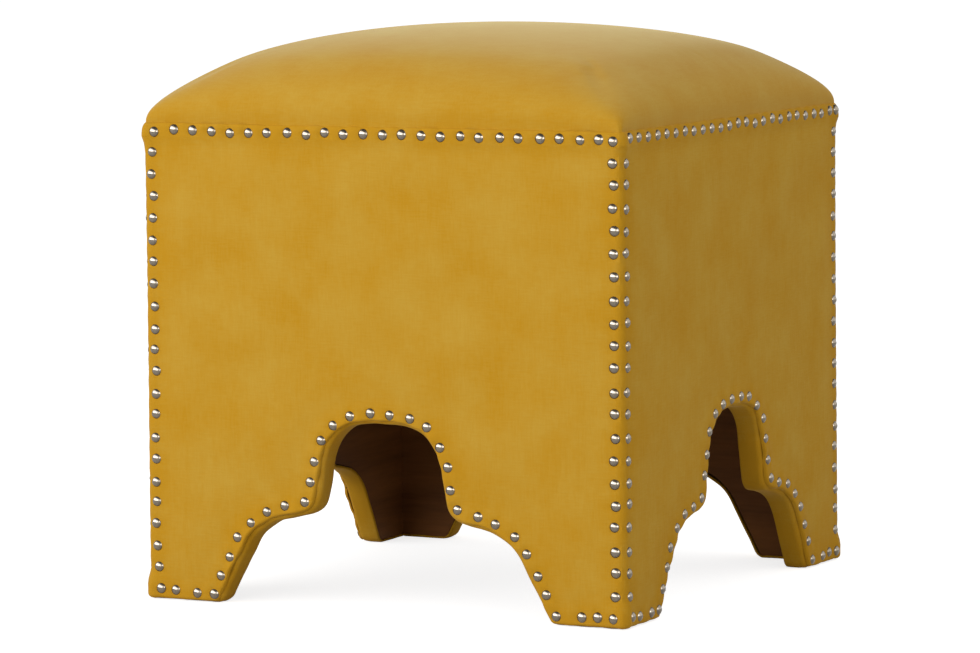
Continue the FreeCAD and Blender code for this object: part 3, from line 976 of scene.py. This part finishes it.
# Lamps: name, turn and rise in degrees, distance, width and height in metres, power in watts.
# The crown lamp isn't mirrored in the nails, and the glints light only the nails.
LAMPS = (
    ("key_lamp", -34.0, 19.0, 3.2, 5.4, 1.3, 82.0),
    ("strip_lamp", 58.0, 12.0, 3.2, 2.4, 0.35, 7.5),
    ("side_lamp", 82.0, 45.0, 3.2, 2.2, 1.6, 11.5),
)
CROWN_LAMP = ("crown_lamp", 150.0, 50.0, 3.0, 2.6, 2.6, 7.5)
GLINTS = (
    ("left_glint", -31.0, 27.0, 3.4, 10.9, 2.4, 330.0),
    ("right_glint", 60.0, 14.0, 3.2, 2.0, 1.2, 66.0),
    ("back_glint", 116.0, 24.0, 3.2, 4.0, 2.8, 38.0),
)
LAMP_TARGET = Vector((0, 0, 0.25))

# Card: name, turn and rise in degrees, distance and size in metres
TOP_CARD = ("top_card", 10.0, 84.0, 3.0, 5.5)
WORLD_LEVEL = 0.44
FLOOR_WHITE = 0.8
FLOOR_WHITE_IN_METAL = 0.5
WHITE = (1.0, 1.0, 1.0, 1.0)


def direction(turn, rise):
    """Unit vector from the stool, turned to the right of its front and raised, in degrees."""
    turn, rise = math.radians(turn), math.radians(rise)
    return Vector((math.sin(turn) * math.cos(rise), -math.cos(turn) * math.cos(rise), math.sin(rise)))


def place_camera(scene):
    """Set the camera where the photo's stood, with its roll."""
    back = direction(CAMERA_TURN, CAMERA_DIP)
    turn, roll = math.radians(CAMERA_TURN), math.radians(CAMERA_ROLL)
    right = Vector((math.cos(turn), math.sin(turn), 0.0))
    up = back.cross(right)
    across = right * math.cos(roll) + up * math.sin(roll)
    upright = up * math.cos(roll) - right * math.sin(roll)
    eye = Vector(CAMERA_TARGET) + back * CAMERA_DISTANCE
    eye += across * CAMERA_SHIFT[0] + upright * CAMERA_SHIFT[1]
    bpy.ops.object.camera_add(location=eye)
    camera = bpy.context.object
    camera.matrix_world = Matrix((across, upright, back)).transposed().to_4x4()
    camera.matrix_world.translation = eye
    camera.data.lens = CAMERA_LENS
    camera.data.sensor_width = SENSOR_WIDTH
    scene.camera = camera


def soft_box(name, turn, rise, distance, width, height, power):
    """Large lamp aimed at the stool from a turn and a rise in degrees."""
    away = direction(turn, rise)
    bpy.ops.object.light_add(type="AREA", location=away * distance + LAMP_TARGET)
    lamp = bpy.context.object
    lamp.name = name
    lamp.rotation_mode = "QUATERNION"
    lamp.rotation_quaternion = away.to_track_quat("Z", "Y")
    lamp.data.shape = "RECTANGLE"
    lamp.data.size = width
    lamp.data.size_y = height
    lamp.data.energy = power
    return lamp


def light_only(lamp, pieces):
    """Let a lamp light only the given pieces."""
    lit = bpy.data.collections.new(f"{lamp.name}_pieces")
    for piece in pieces:
        lit.objects.link(piece)
    lamp.light_linking.receiver_collection = lit


def seen_white(tree, by_camera, by_metal):
    """Strength of white for a ray from the camera, and for one from metal or glass."""
    rays = node(tree, "LightPath").outputs
    metal = arithmetic(tree, "MAXIMUM", rays["Is Glossy Ray"], rays["Is Transmission Ray"])
    return arithmetic(tree, "MAXIMUM", arithmetic(tree, "MULTIPLY", rays["Is Camera Ray"], by_camera),
                      arithmetic(tree, "MULTIPLY", metal, by_metal))


def light_world(scene, level):
    """Even light all round at a level, white to the camera and to metal."""
    world = bpy.data.worlds.new("studio")
    world.use_nodes = True
    tree = world.node_tree
    dim = tree.nodes["Background"]
    dim.inputs["Strength"].default_value = level
    dim.inputs["Color"].default_value = WHITE
    white = node(tree, "Background", {"Color": WHITE, "Strength": 1.0})
    mix = node(tree, "MixShader", {0: seen_white(tree, 1.0, 1.0), 1: dim.outputs[0], 2: white.outputs[0]})
    tree.links.new(mix.outputs[0], tree.nodes["World Output"].inputs["Surface"])
    scene.world = world


def lay_floor():
    """Wide pale floor just under the feet, which keeps the stool's shadow."""
    bpy.ops.mesh.primitive_plane_add(size=60.0, location=(0, 0, -0.4 * MM))
    floor = new_piece("floor")
    material, tree, shader = new_material("pale_floor")
    shader["Base Color"].default_value = (0.6, 0.6, 0.6, 1.0)
    shader["Roughness"].default_value = 0.9
    shader["Specular IOR Level"].default_value = 0.0
    glow = node(tree, "Emission", {"Strength": seen_white(tree, FLOOR_WHITE, FLOOR_WHITE_IN_METAL)})
    both = node(tree, "AddShader", {0: tree.nodes["Principled BSDF"].outputs[0], 1: glow.outputs[0]})
    tree.links.new(both.outputs[0], tree.nodes["Material Output"].inputs["Surface"])
    floor.data.materials.append(material)


def hang_card(name, turn, rise, distance, size):
    """Grey card that only the polished metal sees."""
    away = direction(turn, rise)
    bpy.ops.mesh.primitive_plane_add(size=size)
    card = new_piece(name)
    card.rotation_mode = "QUATERNION"
    card.location = away * distance
    card.rotation_quaternion = away.to_track_quat("Z", "Y")
    for ray in ("camera", "diffuse", "shadow", "transmission"):
        setattr(card, f"visible_{ray}", False)
    material, _, shader = new_material("grey_card")
    shader["Base Color"].default_value = (0.4, 0.4, 0.4, 1.0)
    shader["Specular IOR Level"].default_value = 0.0
    card.data.materials.append(material)


class FOOTSTOOL_OT_set_stage(bpy.types.Operator):
    """Set the camera, the soft lamps, the glints on the nails, a grey card and a white surround."""

    bl_idname = "footstool.set_stage"
    bl_label = "Set the Stage"

    def execute(self, context):
        scene = context.scene
        scene.view_settings.view_transform = "Standard"
        place_camera(scene)
        for settings in LAMPS:
            soft_box(*settings)
        soft_box(*CROWN_LAMP).visible_glossy = False
        heads = [bpy.data.objects[f"{side}_nail_heads"] for side in SIDES]
        for settings in GLINTS:
            light_only(soft_box(*settings), heads)
        light_world(scene, WORLD_LEVEL)
        lay_floor()
        hang_card(*TOP_CARD)
        return {"FINISHED"}


class FOOTSTOOL_PT_panel(bpy.types.Panel):
    """Lists the settings, then the steps in the order in which they are made."""

    bl_idname = "FOOTSTOOL_PT_panel"
    bl_label = "Footstool"
    bl_space_type = "VIEW_3D"
    bl_region_type = "UI"
    bl_category = "Footstool"

    def draw(self, context):
        layout = self.layout
        for group in (context.scene.footstool_sizes, context.scene.footstool_colours):
            box = layout.box()
            for name in group.__annotations__:
                box.prop(group, name)
        for step in STEPS:
            layout.operator(step.bl_idname)


STEPS = (
    FOOTSTOOL_OT_cover_sides,
    FOOTSTOOL_OT_fold_bands,
    FOOTSTOOL_OT_pad_seat,
    FOOTSTOOL_OT_set_nails,
    FOOTSTOOL_OT_finish_timber,
    FOOTSTOOL_OT_set_stage,
)
CLASSES = (FootstoolSizes, FootstoolColours) + STEPS + (FOOTSTOOL_PT_panel,)


def register():
    for item in CLASSES:
        bpy.utils.register_class(item)
    bpy.types.Scene.footstool_sizes = PointerProperty(type=FootstoolSizes)
    bpy.types.Scene.footstool_colours = PointerProperty(type=FootstoolColours)


def unregister():
    del bpy.types.Scene.footstool_colours
    del bpy.types.Scene.footstool_sizes
    for item in reversed(CLASSES):
        bpy.utils.unregister_class(item)


def main():
    register()
    bpy.ops.footstool.cover_sides()
    bpy.ops.footstool.fold_bands()
    bpy.ops.footstool.pad_seat()
    bpy.ops.footstool.set_nails()
    bpy.ops.footstool.finish_timber()
    bpy.ops.footstool.set_stage()


if __name__ == "__main__":
    main()
